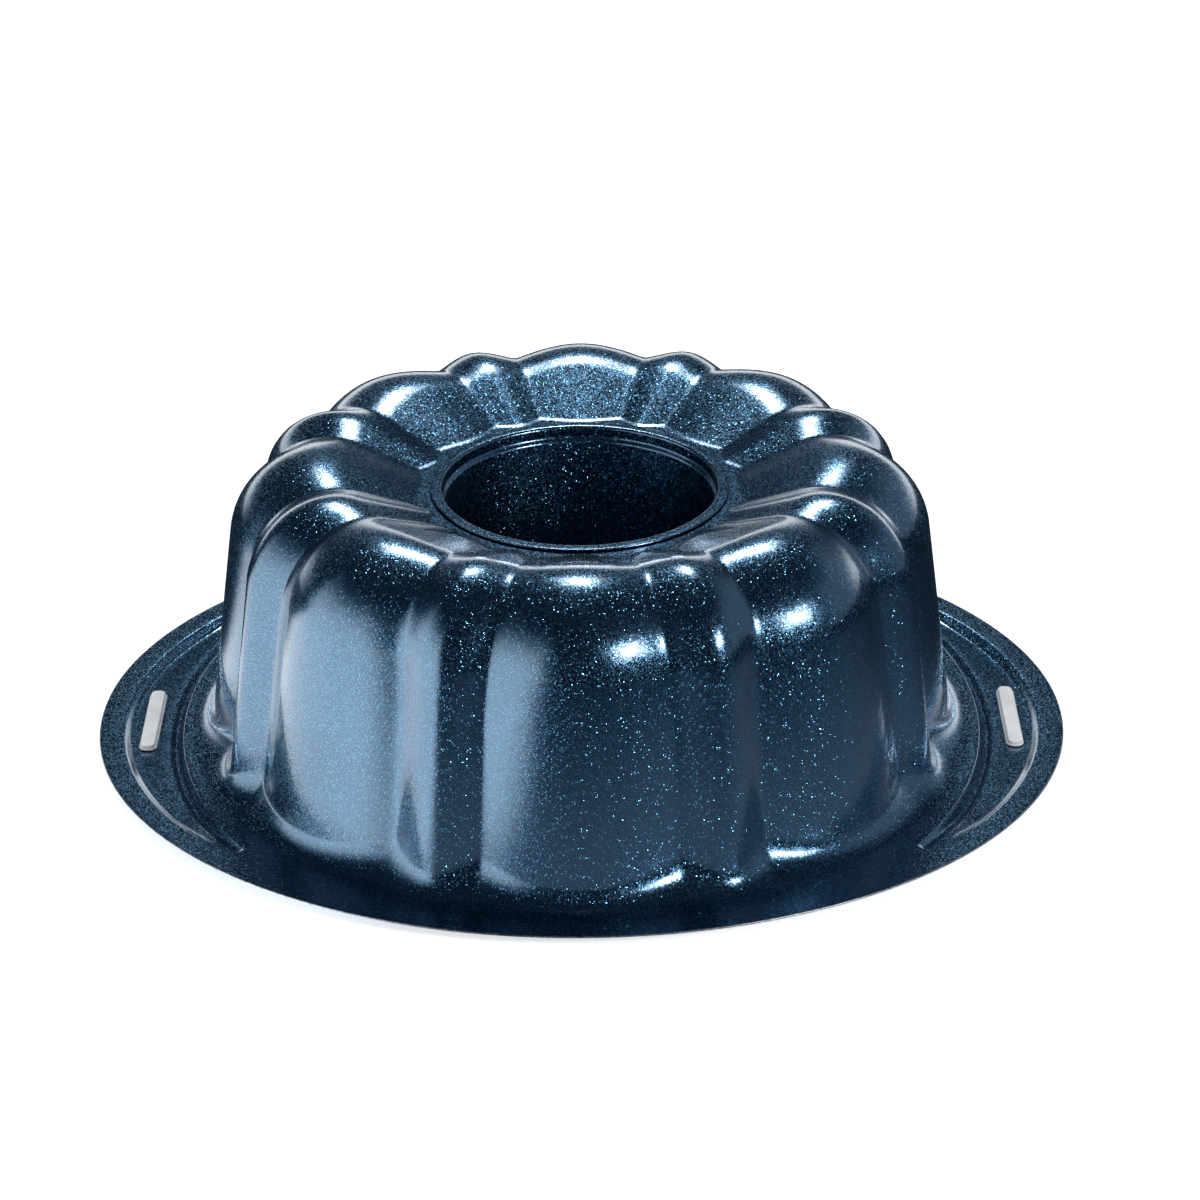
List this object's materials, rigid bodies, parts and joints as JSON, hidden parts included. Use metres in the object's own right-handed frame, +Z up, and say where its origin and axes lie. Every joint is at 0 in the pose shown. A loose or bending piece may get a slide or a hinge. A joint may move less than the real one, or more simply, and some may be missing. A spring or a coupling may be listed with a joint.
{
  "type": "fluted tube pan",
  "caption": "Fluted ring-cake pan of coated steel, turned over on its oval rim, with an open centre tube and silicone grip inserts in the handles",
  "frame": {"origin": "on the surface the turned-over pan stands on, straight below the pan's axis", "axes": "+Z up along the tube's axis, +X to the right-hand handle, -Y to the front of the pan"},
  "size_m": [0.2984, 0.2594, 0.0933],
  "materials": {
    "coated_steel": "glossy dark blue non-stick coat with fine metallic flake",
    "silicone": "satin milky silicone"
  },
  "bodies": {
    "root": {"pan_shell": "coated_steel", "centre_tube": "coated_steel", "grip_insert_left": "silicone", "grip_insert_right": "silicone"}
  },
  "joints": []
}
